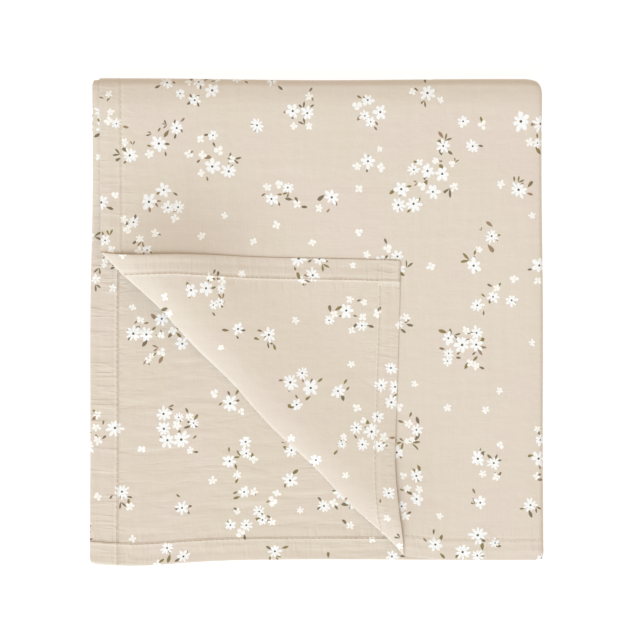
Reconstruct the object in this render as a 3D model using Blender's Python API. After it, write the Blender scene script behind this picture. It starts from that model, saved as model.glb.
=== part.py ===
"""A muslin swaddle blanket, folded in four each way, with the corner of its top layer turned back.

The blanket is one hemmed cloth. It is built flat, as one thin closed slab with cut lines where it bends,
and is then folded by formula: under at the middle, left to right, then bottom to top, and both once more.
Metres, +Z up. The origin is the middle of the folded blanket's footprint, on the surface it rests on.
"""

import math

import bmesh
import bpy
from mathutils import Vector

# The folded blanket
FOLDED_WIDTH = 0.280  # between its left and right sides
FOLDED_DEPTH = 0.300  # between its bottom and top sides
SHEET = 0.0010  # thickness of the crinkled double gauze
AIR = 0.00035  # between one layer and the next
BEND_SQUASH = 0.5  # a pressed fold stands out this much of its height's half

# The four folds, in the order they are made
FOLD_FACETS = {"halve_width": 3, "halve_depth": 4, "quarter_width": 5, "quarter_depth": 6}

# Grid lines across one folded panel, as shares of the panel
PANEL_LINES = (0.0, 0.035, 0.27, 0.5, 0.73, 0.965, 1.0)
TOP_LINES = (0.09, 0.18, 0.36, 0.43, 0.57, 0.65, 0.69, 0.77, 0.84)  # and these on the top panel alone
CUT_CORNER = 0.004  # rounding of the cloth's own corners
CORNER_FACETS = 3

# How far each cut edge falls short of the stack's side, for the four panels along that edge
LEFT_INSETS = (0.0056, 0.0034, 0.0006, 0.0009)
RIGHT_INSETS = (0.0000, 0.0010, 0.0016, 0.0008)
BOTTOM_INSETS = (0.0046, 0.0014, 0.0006, 0.0000)
TOP_INSETS = (0.0010, 0.0004, 0.0013, 0.0007)

# The turned-back corner: the top layer is folded over a line, seen from above
ROLL_THROUGH = (0.1005, 0.0973)  # a point under the fold's outer side, from the stack's lower left
ROLL_SLOPE = math.radians(45.7)  # the fold runs down to the right at this slope
ROLL_PARTS = (  # in section: length, how far it has turned at its end, and facets
    (0.0033, math.radians(166.0), 5),  # the bend
    (0.0160, math.radians(181.5), 4),  # the crown behind it
    (0.0080, math.radians(182.5), 1),  # over its top
)
FLAP_SINK = math.radians(2.5)  # the turned corner slopes down by this
LANDING = 0.014  # length over which it comes level
LANDING_FACETS = 2
FLAP_AIR = 0.0008  # between the turned corner and the layer that it lies on
FLAT_CORNER = (0.0062, 0.0059)  # where the top layer's corner would be, unturned
TURNED_CORNER = (0.1922, 0.1859)  # and where it lies when turned back

# The top layer swells where the fold lifts it, along the turned corner's upper edge
SWELL_HEIGHT = 0.0040
SWELL_MIDDLE = 0.052  # from the stack's left side
SWELL_HALF_WIDTH = 0.042
SWELL_EDGE = (0.1900, -0.024)  # the line that it stands along: height at the left side, and slope
SWELL_ABOVE = 0.030  # it falls away over this length above that line
SWELL_BELOW = 0.055  # and over this below

# Unevenness of the folded stack
CORNER_ROUND = {"lower_left": 0.006, "lower_right": 0.006, "upper_left": 0.005, "upper_right": 0.011}
CORNER_SOFTNESS = 0.75  # 0 leaves the corners square, 1 would make them true arcs
SIDE_WAVE = 0.0008  # how far the sides wander in and out
TOP_WAVE = 0.018  # how much the stack's height wanders, as a share of it

COLOUR = (0.76, 0.675, 0.565, 1.0)  # warm oat


def stack_heights():
    """The height of the stack before each fold, and after the last."""
    heights = [SHEET]
    for _ in FOLD_FACETS:
        heights.append(2 * heights[-1] + AIR)
    return heights


HEIGHTS = stack_heights()
STACK = HEIGHTS[-1]
MIDDLES = [(AIR + height) / 2 for height in HEIGHTS[:-1]]  # radius of each bend's middle layer
OUTERS = [AIR / 2 + height for height in HEIGHTS[:-1]]  # and of its outermost face
BEND_LENGTHS = [math.pi * radius for radius in MIDDLES]

# One panel is what lies between two folds
SIDE_BULGE = BEND_SQUASH * OUTERS[0]  # the first two folds end up on the left and bottom sides
PANEL_WIDTH = FOLDED_WIDTH - SIDE_BULGE - BEND_SQUASH * OUTERS[2]
PANEL_DEPTH = FOLDED_DEPTH - BEND_SQUASH * OUTERS[1] - BEND_SQUASH * OUTERS[3]
HALF_WIDTH_LINE = 2 * PANEL_WIDTH + BEND_LENGTHS[2]
HALF_DEPTH_LINE = 2 * PANEL_DEPTH + BEND_LENGTHS[3]
CLOTH_WIDTH = 2 * HALF_WIDTH_LINE + BEND_LENGTHS[0]
CLOTH_DEPTH = 2 * HALF_DEPTH_LINE + BEND_LENGTHS[1]


def grid_lines(panel, outer_bend, outer_facets, middle_bend, middle_facets):
    """Places of the grid lines across the flat cloth: panel, bend, panel, middle bend, and mirrored."""
    half = [share * panel for share in PANEL_LINES]
    half += [panel + outer_bend * i / outer_facets for i in range(1, outer_facets)]
    half += [panel + outer_bend + share * panel for share in PANEL_LINES]
    middle = [half[-1] + middle_bend * i / middle_facets for i in range(1, middle_facets)]
    whole = 2 * half[-1] + middle_bend
    return half + middle + [whole - place for place in reversed(half)]


def fold_under(along, height, line, stack):
    """Folds what lies past the line under the rest, and lifts the result back onto z = 0."""
    middle = (AIR + stack) / 2
    radius = AIR / 2 + height
    past = along - line
    if past <= 0:
        return along, height + stack + AIR
    if past < math.pi * middle:
        turn = past / middle
        return line + BEND_SQUASH * radius * math.sin(turn), stack + AIR / 2 + radius * math.cos(turn)
    return line - (past - math.pi * middle), stack - height


def fold_in_four(point):
    """Takes a point of the flat cloth to its place in the folded stack."""
    x, y, z = point
    x, z = fold_under(x, z, HALF_WIDTH_LINE, HEIGHTS[0])
    y, z = fold_under(y, z, HALF_DEPTH_LINE, HEIGHTS[1])
    x, z = fold_under(x, z, PANEL_WIDTH, HEIGHTS[2])
    y, z = fold_under(y, z, PANEL_DEPTH, HEIGHTS[3])
    return x, y, z


def between_panels(insets, place, panel):
    """The inset at a place along an edge, sliding from the middle of one panel to the next."""
    at = min(max(place / panel - 0.5, 0.0), len(insets) - 1.0)
    low = min(int(at), len(insets) - 2)
    return insets[low] + (insets[low + 1] - insets[low]) * (at - low)


def draw_in(x, y):
    """Draws the flat cloth's four edges in by their insets, each fading out over one panel."""
    left = between_panels(LEFT_INSETS, y, PANEL_DEPTH) * max(0.0, 1 - x / PANEL_WIDTH)
    right = between_panels(RIGHT_INSETS, y, PANEL_DEPTH) * max(0.0, 1 - (CLOTH_WIDTH - x) / PANEL_WIDTH)
    bottom = between_panels(BOTTOM_INSETS, x, PANEL_WIDTH) * max(0.0, 1 - y / PANEL_DEPTH)
    top = between_panels(TOP_INSETS, x, PANEL_WIDTH) * max(0.0, 1 - (CLOTH_DEPTH - y) / PANEL_DEPTH)
    return x + left - right, y + bottom - top


def roll_profile():
    """The folded corner in section, as rows of length along the cloth, reach outwards, height and turn."""
    rows = [(0.0, 0.0, 0.0, 0.0)]

    def add(length, turn, facets):
        first = rows[-1][3]
        bend = (turn - first) / (2 * facets)
        step = length / facets
        chord = step if bend == 0 else step * math.sin(bend) / bend
        for i in range(facets):
            last = rows[-1]
            lean = first + bend * (2 * i + 1)
            reach, height = last[1] + chord * math.cos(lean), last[2] + chord * math.sin(lean)
            rows.append((last[0] + step, reach, height, first + bend * 2 * (i + 1)))

    for part in ROLL_PARTS:
        add(*part)
    sinks = rows[-1][2] - SHEET - FLAP_AIR
    add(sinks / math.sin(FLAP_SINK) - LANDING / 2, math.pi + FLAP_SINK, 1)
    add(LANDING, math.pi, LANDING_FACETS)
    return rows


ROLL = roll_profile()
OUTWARDS = Vector((-math.sin(ROLL_SLOPE), -math.cos(ROLL_SLOPE), 0.0))
ROLL_START = Vector((*ROLL_THROUGH, 0.0)) - OUTWARDS * (max(row[1] for row in ROLL) + SHEET / 2)

# The crinkle shortens the cloth a little between the fold and the turned corner
FLAT_REACH = (Vector((*FLAT_CORNER, 0.0)) - ROLL_START).dot(OUTWARDS)
TURNED_REACH = (Vector((*TURNED_CORNER, 0.0)) - ROLL_START).dot(OUTWARDS)
TAKE_UP = (ROLL[-1][0] + ROLL[-1][1] - TURNED_REACH) / FLAT_REACH


def roll_over(point):
    """Takes a point of the top layer, in the stack, to its place round the fold or on the turned corner."""
    past = (Vector((point[0], point[1], 0.0)) - ROLL_START).dot(OUTWARDS)
    if past <= 0:
        return point
    middle = STACK - SHEET / 2
    off = point[2] - middle
    last = ROLL[-1]
    along = past * TAKE_UP
    if along >= last[0]:
        reach = last[1] - (along - last[0])
        height, turn = last[2], last[3]
    else:
        row = max(i for i, each in enumerate(ROLL) if each[0] <= along)
        low, high = ROLL[row], ROLL[row + 1]
        share = (along - low[0]) / (high[0] - low[0])
        reach, height, turn = (low[i] + (high[i] - low[i]) * share for i in (1, 2, 3))
    moved = Vector(point) + OUTWARDS * (reach - past - off * math.sin(turn))
    return moved.x, moved.y, middle + height + off * math.cos(turn)


def round_corner(x, y):
    """Rounds the stack's four corners in plan, as a square is taken to a disc."""
    right, upper = x > FOLDED_WIDTH / 2, y > FOLDED_DEPTH / 2
    radius = CORNER_ROUND[("upper" if upper else "lower") + ("_right" if right else "_left")]
    corner_x = FOLDED_WIDTH - radius if right else radius
    corner_y = FOLDED_DEPTH - radius if upper else radius
    out_x, out_y = (x - corner_x) / radius, (y - corner_y) / radius
    if (out_x > 0) != right or (out_y > 0) != upper:
        return x, y
    out_x, out_y = max(-1.0, min(1.0, out_x)), max(-1.0, min(1.0, out_y))
    return (
        corner_x + radius * out_x * math.sqrt(1 - CORNER_SOFTNESS * out_y * out_y / 2),
        corner_y + radius * out_y * math.sqrt(1 - CORNER_SOFTNESS * out_x * out_x / 2),
    )


def swell(x, y):
    """How far the top layer and the turned corner on it are lifted."""
    above = y - (SWELL_EDGE[0] + SWELL_EDGE[1] * x)
    falls = above / SWELL_ABOVE if above > 0 else (above / SWELL_BELOW) ** 2
    return SWELL_HEIGHT * math.exp(-(((x - SWELL_MIDDLE) / SWELL_HALF_WIDTH) ** 2) - falls)


def settle(point):
    """The stack's own unevenness: wandering sides and a top that is not quite level."""
    x, y, z = point
    across, along = x / FOLDED_WIDTH, y / FOLDED_DEPTH
    x += SIDE_WAVE * (across - 0.5) * (math.sin(5.0 * along + 0.6) + 0.6 * math.sin(11.0 * along + 2.0))
    y += SIDE_WAVE * (along - 0.5) * (math.sin(4.4 * across + 1.9) + 0.7 * math.sin(9.0 * across + 0.4))
    z *= 1 + TOP_WAVE * math.sin(4.1 * across + 0.5) * math.sin(3.7 * along + 1.1)
    return x - FOLDED_WIDTH / 2, y - FOLDED_DEPTH / 2, z


def place(point):
    """Takes a point of the flat cloth all the way to where it lies."""
    in_top_layer = point[0] <= PANEL_WIDTH and point[1] <= PANEL_DEPTH
    x, y = draw_in(point[0], point[1])
    x, y, z = fold_in_four((x, y, point[2]))
    x, y = round_corner(x + SIDE_BULGE, y + BEND_SQUASH * OUTERS[1])
    if in_top_layer:
        x, y, z = roll_over((x, y, z))
        z += swell(x, y)
    return settle((x, y, z))


def cut(mesh, faces, through, normal):
    """Cuts the faces along a straight line."""
    edges = {edge for face in faces for edge in face.edges}
    verts = {vert for face in faces for vert in face.verts}
    bmesh.ops.bisect_plane(
        mesh, geom=[*faces, *edges, *verts], dist=1e-6, plane_co=through, plane_no=normal
    )


def top_panel(mesh):
    middles = ((face, face.calc_center_median()) for face in mesh.faces)
    return [face for face, middle in middles if middle.x < PANEL_WIDTH and middle.y < PANEL_DEPTH]


def flat_cloth():
    """The flat cloth as a thin closed slab, cut by grid lines and by lines along the turned corner."""
    mesh = bmesh.new()
    bmesh.ops.create_grid(mesh, x_segments=1, y_segments=1, size=0.5)
    bmesh.ops.translate(mesh, verts=mesh.verts, vec=(0.5, 0.5, 0.0))
    bmesh.ops.scale(mesh, verts=mesh.verts, vec=(CLOTH_WIDTH, CLOTH_DEPTH, 1.0))
    bmesh.ops.bevel(
        mesh,
        geom=mesh.verts[:],
        affect="VERTICES",
        offset=CUT_CORNER,
        segments=CORNER_FACETS,
        profile=0.5,
        material=-1,
    )
    facets = list(FOLD_FACETS.values())
    across = grid_lines(PANEL_WIDTH, BEND_LENGTHS[2], facets[2], BEND_LENGTHS[0], facets[0])
    along = grid_lines(PANEL_DEPTH, BEND_LENGTHS[3], facets[3], BEND_LENGTHS[1], facets[1])
    for x in across[1:-1]:
        cut(mesh, mesh.faces[:], (x, 0.0, 0.0), (1.0, 0.0, 0.0))
    for y in along[1:-1]:
        cut(mesh, mesh.faces[:], (0.0, y, 0.0), (0.0, 1.0, 0.0))
    for share in TOP_LINES:
        cut(mesh, top_panel(mesh), (share * PANEL_WIDTH, 0.0, 0.0), (1.0, 0.0, 0.0))
        cut(mesh, top_panel(mesh), (0.0, share * PANEL_DEPTH, 0.0), (0.0, 1.0, 0.0))
    for row in ROLL:
        cut(mesh, top_panel(mesh), ROLL_START + OUTWARDS * row[0] / TAKE_UP, OUTWARDS)
    bmesh.ops.triangulate(mesh, faces=mesh.faces[:], quad_method="BEAUTY", ngon_method="BEAUTY")
    under = bmesh.ops.extrude_face_region(mesh, geom=mesh.faces[:])
    raised = [item for item in under["geom"] if isinstance(item, bmesh.types.BMVert)]
    bmesh.ops.translate(mesh, verts=raised, vec=(0.0, 0.0, SHEET))
    bmesh.ops.recalc_face_normals(mesh, faces=mesh.faces[:])
    return mesh


def muslin():
    """The cotton: matt and warm."""
    material = bpy.data.materials.new("muslin")
    material.use_nodes = True
    shader = material.node_tree.nodes["Principled BSDF"]
    shader.inputs["Base Color"].default_value = COLOUR
    shader.inputs["Roughness"].default_value = 0.9
    shader.inputs["Metallic"].default_value = 0.0
    material.diffuse_color = COLOUR
    return material


def build_cloth():
    mesh = flat_cloth()
    for vert in mesh.verts:
        vert.co = place(vert.co)
    data = bpy.data.meshes.new("muslin_cloth")
    mesh.to_mesh(data)
    mesh.free()
    data.materials.append(muslin())
    cloth = bpy.data.objects.new("muslin_cloth", data)
    bpy.context.scene.collection.objects.link(cloth)
    return cloth


for old in list(bpy.data.objects):
    bpy.data.objects.remove(old)
build_cloth()
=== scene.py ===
# %% [markdown]
# # A folded muslin swaddle blanket
# The blanket is one nearly square cloth of printed double gauze, hemmed all round, folded in four each way,
# with the corner of its top layer turned back. It could be built layer by layer, as it lies. Here it is made
# flat instead, and formulas then fold it, so the print, the hems and their stitches go where the cloth goes.

# %% Load the frame
import math

import bmesh
import bpy
import numpy as np
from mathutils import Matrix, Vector, noise


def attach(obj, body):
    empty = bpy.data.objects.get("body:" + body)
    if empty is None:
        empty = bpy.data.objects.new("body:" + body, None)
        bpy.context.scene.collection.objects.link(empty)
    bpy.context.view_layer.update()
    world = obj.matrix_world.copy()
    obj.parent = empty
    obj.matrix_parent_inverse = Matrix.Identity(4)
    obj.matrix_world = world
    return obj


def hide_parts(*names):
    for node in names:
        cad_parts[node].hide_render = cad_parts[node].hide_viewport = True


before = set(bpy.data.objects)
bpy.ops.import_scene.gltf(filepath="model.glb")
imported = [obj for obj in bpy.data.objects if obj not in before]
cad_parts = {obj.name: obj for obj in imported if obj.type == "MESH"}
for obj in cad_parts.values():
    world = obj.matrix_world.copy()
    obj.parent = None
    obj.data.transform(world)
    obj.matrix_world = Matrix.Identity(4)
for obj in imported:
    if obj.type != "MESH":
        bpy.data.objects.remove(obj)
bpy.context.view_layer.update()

# %% [markdown]
# ## The sizes of the folded stack
# Folding a cloth in half four times leaves sixteen layers. Each fold bends the stack so far round itself,
# so the bends get rounder with every fold. Sixteen sheets could be laid over one another instead, but then
# nothing would say how much cloth the bends take up. So the flat size follows from the folded one: four
# panels each way, and the lengths of the bends between them.

# %% Sizes of the stack, the folds and the flat cloth
FOLDED_WIDTH, FOLDED_DEPTH = 0.280, 0.300
LAYER, AIR = 0.0010, 0.00035  # a layer of gauze, and the air above it
BEND_SQUASH = 0.5  # a pressed fold stands out this much of its half height

heights = [LAYER]
for _ in range(4):
    heights.append(2 * heights[-1] + AIR)
STACK = heights[-1]
BENDS = [math.pi * (AIR + height) / 2 for height in heights[:4]]
BULGES = [BEND_SQUASH * (AIR / 2 + height) for height in heights[:4]]

PANEL_WIDTH = FOLDED_WIDTH - BULGES[0] - BULGES[2]
PANEL_DEPTH = FOLDED_DEPTH - BULGES[1] - BULGES[3]
HALF_WIDTH = 2 * PANEL_WIDTH + BENDS[2]
HALF_DEPTH = 2 * PANEL_DEPTH + BENDS[3]
CLOTH_WIDTH = 2 * HALF_WIDTH + BENDS[0]
CLOTH_DEPTH = 2 * HALF_DEPTH + BENDS[1]
print(f"flat cloth {CLOTH_WIDTH:.3f} by {CLOTH_DEPTH:.3f} m, stack {STACK * 1000:.1f} mm high")

# %% [markdown]
# ## Folding
# A fold takes everything past a line, swings it round half a turn and lays it underneath. A cloth simulation
# could press such a stack, but sixteen layers would creep through one another, and a formula keeps them
# apart exactly. Written for whole arrays of points, it folds a hundred thousand of them at once. After each
# fold the stack is lifted back onto its own underside, ready for the next.

# %% Fold a stack under itself
def fold_under(along, height, line, stack):
    """Folds what lies past the line under the rest, and lifts the result back onto z = 0."""
    middle = (AIR + stack) / 2
    radius = AIR / 2 + height
    past = along - line
    turn = np.clip(past / middle, 0, np.pi)
    bent = line + BEND_SQUASH * radius * np.sin(turn)
    straight = np.minimum(past, 0) - np.maximum(past - np.pi * middle, 0)
    return bent + straight, stack + AIR / 2 + radius * np.cos(turn)


def fold_in_four(x, y, z):
    x, z = fold_under(x, z, HALF_WIDTH, heights[0])
    y, z = fold_under(y, z, HALF_DEPTH, heights[1])
    x, z = fold_under(x, z, PANEL_WIDTH, heights[2])
    y, z = fold_under(y, z, PANEL_DEPTH, heights[3])
    return x + BULGES[0], y + BULGES[1], z


print("cloth in the bends, mm:", [round(1000 * bend, 1) for bend in BENDS])

# %% [markdown]
# ## Hems
# Each edge is turned under, its raw edge tucked in, and stitched down. A hem could be a strip laid under the
# cloth, but its edge would then look like a seam. So the cloth really turns round the edge and runs back
# underneath, and it dips to meet itself where the raw edge is tucked in. Where two hems cross, the second
# goes round the first.

# %% Turn the hems under
HEMS = {"left": 0.0146, "right": 0.0174, "bottom": 0.0140, "top": 0.0135}  # widths
HEM_GAP = 0.00030  # from the cloth to its turned-under part
STITCH_INSET = 0.0012  # the stitching runs this far inside the hem's inner fold
TUCK = 0.0015  # the turned part dips to the cloth over this last stretch
TUCK_DIP = 0.7  # and by this share of the gap
CROSSING_STEP = (0.9, 1.1)  # where a hem steps down off the one it crosses, in that one's widths


def turn_hem(place, height, width, under):
    """Turns what lies before 0 under what lies after it. under is how thick that already is."""
    gap = HEM_GAP + under
    past = -place
    turn = np.clip(past / (gap / 2), 0, np.pi)
    beyond = np.maximum(past - np.pi * gap / 2, 0)
    turned = np.where(past > 0, -gap / 2 * np.sin(turn) + beyond, place)
    inner = np.clip((beyond - (width - TUCK)) / TUCK, 0, 1)
    depth = (gap / 2) * (1 - np.cos(turn)) * (1 - TUCK_DIP * inner**2)
    side = np.where(turn > np.pi / 2, -1.0, 1.0)
    return turned, np.where(past > 0, side * (height + under * (turn > np.pi / 2)) - depth, height)


def bump_up(distance, width):
    """1 at no distance, falling softly to 0 over the width."""
    return np.exp(-((distance / width) ** 2))


def soft_step(low, high, value):
    """0 at low, 1 at high and a smooth slope between. The two may be the other way round."""
    share = np.clip((value - low) / (high - low), 0, 1)
    return share * share * (3 - 2 * share)


def hem_all_round(u, v, height):
    """Turns all four hems of the flat cloth under."""
    left, left_z = turn_hem(u, height, HEMS["left"], 0.0)
    right, right_z = turn_hem(CLOTH_WIDTH - u, height, HEMS["right"], 0.0)
    x = np.where(u < CLOTH_WIDTH / 2, left, CLOTH_WIDTH - right)
    z = np.where(u < CLOTH_WIDTH / 2, left_z, right_z)
    edge = np.minimum(x, CLOTH_WIDTH - x)
    hem_here = np.where(u < CLOTH_WIDTH / 2, HEMS["left"], HEMS["right"])
    crossing = HEM_GAP * (1 - soft_step(*CROSSING_STEP, edge / hem_here))
    bottom, bottom_z = turn_hem(v, z, HEMS["bottom"], crossing)
    top, top_z = turn_hem(CLOTH_DEPTH - v, z, HEMS["top"], crossing)
    y = np.where(v < CLOTH_DEPTH / 2, bottom, CLOTH_DEPTH - top)
    z = np.where(v < CLOTH_DEPTH / 2, bottom_z, top_z)
    return x, y, z


print("hems, mm:", {side: round(1000 * width, 1) for side, width in HEMS.items()})

# %% [markdown]
# ## Uneven edges
# No cut edge lies exactly over the one below: each panel's edge falls a little short of the stack's side.
# Moving every layer at random would also move the folds, so only the edges are drawn in, by a short table,
# and the pull fades out over one panel.

# %% Draw the edges in
PANELS_ALONG = (0.1, 0.45, 0.60, 0.78, 1.5, 2.5, 3.5)
INSETS = {  # how far each edge falls short of the stack's side, at those panels along it
    "left": (0.0056, 0.0077, 0.0067, 0.0050, 0.0034, 0.0006, 0.0009),
    "right": (0.0000, 0.0000, 0.0001, 0.0003, 0.0010, 0.0016, 0.0008),
    "bottom": (0.0046, 0.0063, 0.0054, 0.0002, 0.0003, 0.0012, 0.0000),
    "top": (0.0010, 0.0010, 0.0009, 0.0008, 0.0004, 0.0013, 0.0007),
}


def inset(side, place, panel):
    return np.interp(place / panel, PANELS_ALONG, INSETS[side])


def draw_in(x, y):
    """Draws the four edges in by their insets, each fading out over one panel."""
    left = inset("left", y, PANEL_DEPTH) * np.clip(1 - x / PANEL_WIDTH, 0, 1)
    right = inset("right", y, PANEL_DEPTH) * np.clip(1 - (CLOTH_WIDTH - x) / PANEL_WIDTH, 0, 1)
    bottom = inset("bottom", x, PANEL_WIDTH) * np.clip(1 - y / PANEL_DEPTH, 0, 1)
    top = inset("top", x, PANEL_WIDTH) * np.clip(1 - (CLOTH_DEPTH - y) / PANEL_DEPTH, 0, 1)
    return x + left - right, y + bottom - top


print("the edges fall short by up to, mm:", round(1000 * max(max(row) for row in INSETS.values()), 1))

# %% [markdown]
# ## Sewn lines
# Along the stitching the cloth is drawn in to a fine groove, and it puckers, because the thread is tighter
# than the gauze. Bump could draw this, but it throws no shadow, so the cloth itself rises and sinks. The
# puckers are a noise that changes quickly along the hem and slowly across it.

# %% Grooves and puckers
GROOVES = {"left": 0.00026, "right": 0.00036, "bottom": 0.00017, "top": 0.00017}  # depths
LEFT_DEEPENS = (0.17, 0.20, 0.00012)  # the left groove deepens between these places, by this
SEWN_LINES = (  # inwards from the stitching, half width, height as a share of the groove's depth
    (0.0, 0.0006, -1.0),
    (-0.0016, 0.0009, 0.4),
    (-0.0032, 0.0008, -0.35),
)
SEWN_REACH = 0.014  # nothing is drawn in further than this inside the hem
HEM_RISE = (0.001, -0.004, 0.00014)  # from and to, off the hem's inner fold, and height
HEM_RIDGE = (0.0056, 0.0012, 0.00013)  # inwards from the edge, half width, height
PUCKER_ALONG, PUCKER_ACROSS, PUCKER_REACH, PUCKER_HEIGHT = 0.0065, 0.018, 0.007, 0.00022
PLEAT_ALONG, PLEAT_ACROSS, PLEAT_HEIGHT = 0.0048, 0.030, 0.00013  # fewer, sharper puckers
PLEAT_STEP = (0.10, 0.60)  # how much of the noise makes a pleat
PLEAT_BAND = (-0.006, 0.009)  # inwards from the stitching, and half width


def wander(x, y, seed):
    """Smooth noise about -1 to 1 over arrays of points."""
    points = zip(np.ravel(x), np.ravel(y))
    return np.array([noise.noise((a, b, seed)) for a, b in points]).reshape(np.shape(x))


def sewn_relief(x, y):
    """How far the stitched hems stand up or sink, in metres."""
    relief = np.zeros_like(x)
    deepens_from, deepens_to, deeper = LEFT_DEEPENS
    left_groove = GROOVES["left"] + deeper * soft_step(deepens_from, deepens_to, y)
    sides = (  # inwards, along, hem's width, seed, groove's depth
        (x, y, HEMS["left"], 1.0, left_groove),
        (CLOTH_WIDTH - x, y, HEMS["right"], 2.0, GROOVES["right"]),
        (y, x, HEMS["bottom"], 3.0, GROOVES["bottom"]),
        (CLOTH_DEPTH - y, x, HEMS["top"], 4.0, GROOVES["top"]),
    )
    rise_from, rise_to, rise = HEM_RISE
    ridge_at, ridge_width, ridge = HEM_RIDGE
    pleats_at, pleats_width = PLEAT_BAND
    for inwards, along, hem, seed, groove in sides:
        near = inwards < hem + SEWN_REACH
        place, run = inwards[near], along[near]
        off = place - (hem - STITCH_INSET)
        depth = (groove * np.ones_like(x))[near]
        pucker = wander(run / PUCKER_ALONG, off / PUCKER_ACROSS, seed)
        pleat = wander(run / PLEAT_ALONG, off / PLEAT_ACROSS, seed + 0.5)
        relief[near] += rise * soft_step(hem + rise_from, hem + rise_to, place)
        for line, half_width, share in SEWN_LINES:
            relief[near] += share * depth * bump_up(off - line, half_width)
        relief[near] += ridge * bump_up(place - ridge_at, ridge_width)
        relief[near] += PUCKER_HEIGHT * pucker * bump_up(off, PUCKER_REACH)
        relief[near] += PLEAT_HEIGHT * soft_step(*PLEAT_STEP, pleat) * bump_up(off - pleats_at, pleats_width)
    return relief


print("grooves, mm deep:", {side: round(1000 * depth, 2) for side, depth in GROOVES.items()})

# %% [markdown]
# ## The turned-back corner
# The corner is folded back over itself without being pressed. In section the cloth bends sharply at the
# fold, rises a little more like a pillow, levels off, and sinks slowly to lie on the layer below. A
# simulation could drop the corner there, but it would not land twice in the same place. Here each part is an
# arc, so the section is a short list of lengths and turns, and a point's way along it says where it goes.

# %% The fold's section
ROLL_THROUGH = (0.1005, 0.0973)  # a point under the fold's outer edge, from the stack's lower left
ROLL_SLOPE = math.radians(45.7)
FLAP_HEIGHT = 0.0009  # where the flap lies on the layer below, from one's middle to the other's
FLAP_SINK = 2.5  # degrees that it falls by on its way there
BENDS_OF_ROLL = (  # length in millimetres, and the turn in degrees at its end
    (0.0, 0.0),
    (1.6, 166.0),
    (16.0, 181.5),
    (8.0, 180.0 + FLAP_SINK),
)
LANDING = 14.0  # length in millimetres over which it comes level
FLAT_CORNER = (0.0062, 0.0059)  # where the top layer's corner would be, unturned
TURNED_CORNER = (0.1922, 0.1859)  # and where it lies when turned back
OUTWARDS = np.array((-math.sin(ROLL_SLOPE), -math.cos(ROLL_SLOPE)))
DOWN_THE_ROLL = np.array((math.cos(ROLL_SLOPE), -math.sin(ROLL_SLOPE)))


def section_of(rows, steps=500):
    """Length along the cloth, reach outwards, height and turn, from where the cloth leaves the stack."""
    ends = np.cumsum([row[0] for row in rows]) / 1000
    length = np.linspace(0, ends[-1], steps)
    turn = np.interp(length, ends, np.radians([row[1] for row in rows]))
    step = np.diff(length)
    middle = (turn[1:] + turn[:-1]) / 2
    reach = np.concatenate(([0], np.cumsum(step * np.cos(middle))))
    height = np.concatenate(([0], np.cumsum(step * np.sin(middle))))
    return length, reach, height, turn


sink = math.radians(FLAP_SINK)
crown_height = section_of(BENDS_OF_ROLL)[2][-1]
slope = 1000 * (crown_height - FLAP_HEIGHT) / math.sin(sink) - LANDING / 2
SECTION = section_of((*BENDS_OF_ROLL, (slope, 180 + FLAP_SINK), (LANDING, 180.0)))
ROLL_START = np.array(ROLL_THROUGH) - OUTWARDS * SECTION[1].max()
flat_reach = (np.array(FLAT_CORNER) - ROLL_START) @ OUTWARDS
turned_reach = (np.array(TURNED_CORNER) - ROLL_START) @ OUTWARDS
TAKE_UP = (SECTION[0][-1] + SECTION[1][-1] - turned_reach) / flat_reach  # the crinkle takes up the rest
print(f"top of the fold {SECTION[2].max() * 1000:.1f} mm up, take-up {TAKE_UP:.3f}")

# %% [markdown]
# ## Rolling the corner over
# The fold isn't the same all the way. It is fullest in its middle and slimmer towards both ends, and its
# line wanders a little, which one extruded section would not do. So the section is scaled and shifted by
# how far down the fold each point lies.

# %% Roll the corner over
FULLNESS_AT = (-0.140, -0.110, -0.05, 0.07, 0.110, 0.140)  # places down the fold
FULLNESS = (0.8, 0.85, 1.0, 1.0, 0.85, 0.6)  # the section's scale there
WAVES_OF_ROLL = (  # how far out, length of a radian, start
    (0.0011, 0.031, 0.8),
    (0.0007, 0.011, 0.0),
)
WAVES_REACH = 0.05  # they die out this far from the fold
EVENS_OUT = 0.03  # over this last length the flap comes to one height, however slim the fold is
FLAP_DROOP = 0.00046  # how much further the flap's own edges sink
DROOP_BAND = 0.010  # the width along the edges that does so
DROOP_AWAY = (0.02, 0.05)  # none near the fold, and all of it this far from there


def roll_over(x, y, z, top_layer):
    """Folds the top layer's corner up and back over the line of the fold."""
    across = (x - ROLL_START[0]) * OUTWARDS[0] + (y - ROLL_START[1]) * OUTWARDS[1]
    down = (x - ROLL_START[0]) * DOWN_THE_ROLL[0] + (y - ROLL_START[1]) * DOWN_THE_ROLL[1]
    fat = np.interp(down, FULLNESS_AT, FULLNESS)
    wave = sum(size * np.sin(down / radian + start) for size, radian, start in WAVES_OF_ROLL)
    past = across - wave * bump_up(across, WAVES_REACH)
    rolled = top_layer & (past > 0)
    length, reach, height, turn = SECTION
    share = past * TAKE_UP / fat
    beyond = np.maximum(share - length[-1], 0)
    out = fat * (np.interp(share, length, reach) - beyond)
    up = fat * np.interp(share, length, height)
    lean = np.interp(share, length, turn)
    middle = STACK - LAYER / 2
    off = z - middle
    shift = np.where(rolled, out - past - off * np.sin(lean), 0.0)
    settled = (fat - 1) * FLAP_HEIGHT * soft_step(length[-1] - EVENS_OUT, length[-1], share)
    edge = np.minimum(x - FLAT_CORNER[0], y - FLAT_CORNER[1])
    settled = settled + FLAP_DROOP * soft_step(DROOP_BAND, 0.0, edge) * soft_step(*DROOP_AWAY, past)
    return (
        x + OUTWARDS[0] * shift,
        y + OUTWARDS[1] * shift,
        np.where(rolled, middle + up - settled + off * np.cos(lean), z),
    )


print(f"the fold is fullest {1000 * FULLNESS_AT[2]:.0f} to {1000 * FULLNESS_AT[3]:.0f} mm down its line")

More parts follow.
